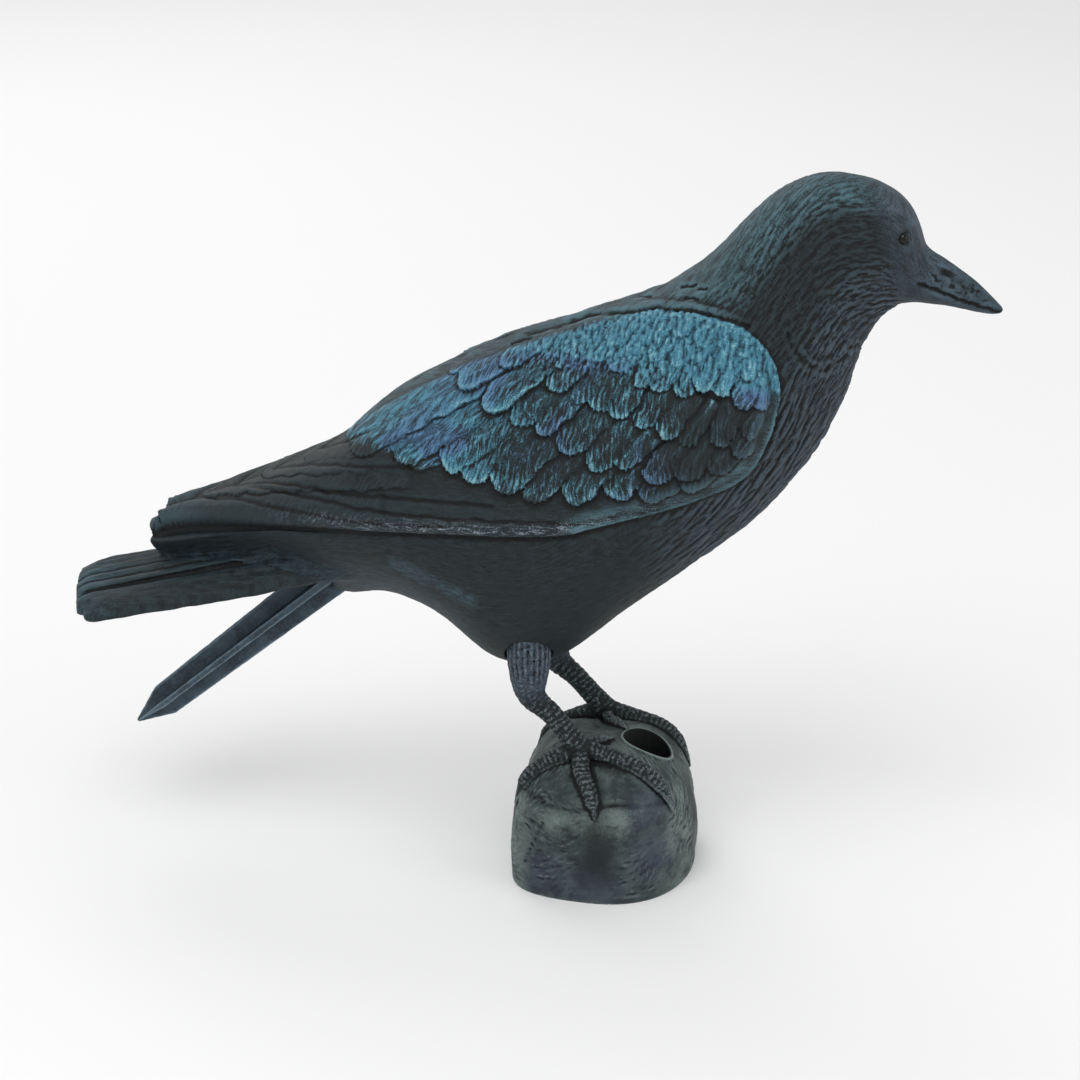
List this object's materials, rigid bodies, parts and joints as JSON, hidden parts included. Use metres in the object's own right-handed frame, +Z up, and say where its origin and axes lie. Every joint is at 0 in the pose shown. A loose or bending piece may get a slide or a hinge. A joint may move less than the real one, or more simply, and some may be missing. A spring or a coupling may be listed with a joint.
{
  "type": "crow decoy",
  "caption": "Life-size moulded crow with carved feathers, standing on a boulder-shaped foot, with a cross-section ground stake plugged in under its tail.",
  "frame": {"origin": "middle of the boulder's flat underside", "axes": "+X the way the crow faces, from its tail to its beak; +Y to its left side; +Z up from the underside"},
  "size_m": [0.3908, 0.107, 0.3077],
  "materials": {
    "plumage": "satin, dry-brushed teal on the wings",
    "foot": "matte",
    "stake": "matte"
  },
  "bodies": {
    "root": {"body": "plumage", "legs_on_boulder": "foot", "ground_stake": "stake"}
  },
  "joints": []
}
